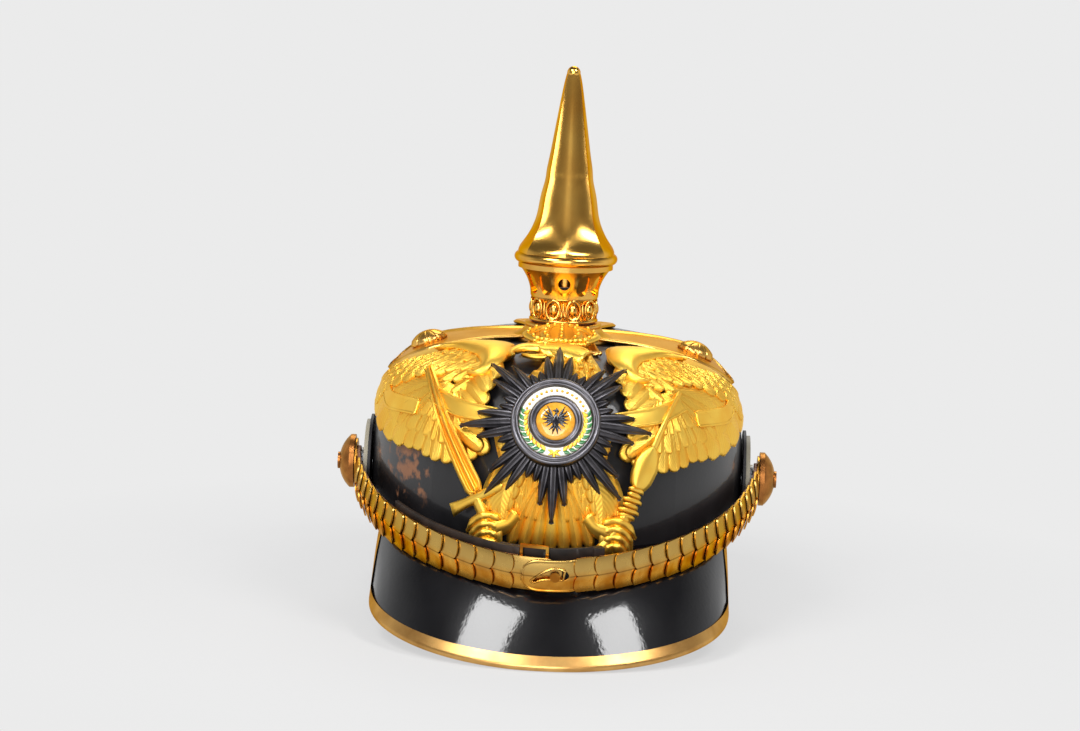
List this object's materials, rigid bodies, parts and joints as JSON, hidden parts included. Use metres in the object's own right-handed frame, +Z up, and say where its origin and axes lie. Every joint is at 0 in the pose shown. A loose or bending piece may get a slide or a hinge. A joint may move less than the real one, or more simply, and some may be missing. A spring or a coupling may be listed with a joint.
{
  "type": "spiked parade helmet",
  "caption": "Spiked leather parade helmet with a visor in front and behind, a spread-winged eagle plate, a breast star and a scaled chin band.",
  "frame": {"origin": "on the table under the centre of the helmet, on the spike's axis", "axes": "+Z up along the spike, -Y to the front of the wearer, +X to the wearer's left"},
  "size_m": [0.2108, 0.298, 0.2579],
  "materials": {
    "lacquered_leather": "black lacquer, crazed and rubbed at the edges",
    "green_lining": "dyed, dull",
    "red_lining": "dyed, dull",
    "brown_leather": "undyed, worn",
    "strap_leather": "dark, worn",
    "tan_silk": "thin silk",
    "gilt_brass": "fire-gilt, polished",
    "copper_brass": "toned copper brown",
    "tarnished_silver": "dark grey tarnish",
    "white_enamel": "fired enamel",
    "amber_enamel": "fired enamel",
    "cockade_black": "satin paint",
    "cockade_white": "satin paint",
    "steel": "plain"
  },
  "bodies": {
    "root": {"skull_shell": "lacquered_leather", "front_visor": "lacquered_leather", "rear_visor": "lacquered_leather", "front_visor_lining": "green_lining", "rear_visor_lining": "red_lining", "front_visor_trim": "gilt_brass", "sweatband": "brown_leather", "silk_lining": "tan_silk", "cross_base": "gilt_brass", "cross_studs": "gilt_brass", "cross_front_screw": "gilt_brass", "inner_washers": "brown_leather", "inner_nuts": "steel", "neck_gasket": "strap_leather", "pearl_ring": "gilt_brass", "neck": "gilt_brass", "neck_sleeve": "steel", "neck_inner_washer": "brown_leather", "neck_ring_nut": "steel", "eagle_plate": "gilt_brass", "plate_posts": "gilt_brass", "star_rays": "tarnished_silver", "star_posts": "gilt_brass", "star_outer_bezel": "tarnished_silver", "star_enamel": "white_enamel", "star_inner_bezel": "gilt_brass", "star_medallion": "amber_enamel", "rear_spine": "gilt_brass", "spine_screw": "gilt_brass", "spine_nut": "steel", "left_cockade": "cockade_black", "left_cockade_ring": "cockade_white", "left_bushing": "steel", "left_bushing_nut": "steel", "left_rosette": "copper_brass", "left_rosette_screw": "copper_brass", "right_cockade": "cockade_black", "right_cockade_ring": "cockade_white", "right_bushing": "steel", "right_bushing_nut": "steel", "right_rosette": "copper_brass", "right_rosette_screw": "copper_brass"},
    "spike": {"spike": "gilt_brass", "spike_plug": "steel"},
    "left_chin_half": {"left_chin_leather": "strap_leather", "left_eye_plate": "gilt_brass", "left_chin_scales": "gilt_brass", "left_end_plate": "gilt_brass", "left_chin_strap": "strap_leather"},
    "right_chin_half": {"right_chin_leather": "strap_leather", "right_eye_plate": "gilt_brass", "right_chin_scales": "gilt_brass", "right_end_plate": "gilt_brass", "right_chin_strap": "strap_leather", "chin_hook": "steel", "buckle_frame": "gilt_brass", "buckle_prong": "steel"}
  },
  "joints": [
    {"name": "spike_lift", "type": "slide", "parent": "root", "child": "spike", "axis": [0, 0, 1], "range_m": [0, 0.03]},
    {"name": "left_chin_hinge", "type": "hinge", "parent": "root", "child": "left_chin_half", "pos_m": [0, 0, 0.064], "axis": [-1, 0, 0], "range_deg": [0, 85]},
    {"name": "right_chin_hinge", "type": "hinge", "parent": "root", "child": "right_chin_half", "pos_m": [0, 0, 0.064], "axis": [-1, 0, 0], "range_deg": [0, 85]}
  ],
  "couplings": [
    {"joint": "right_chin_hinge", "follows": "left_chin_hinge", "ratio": 1}
  ]
}
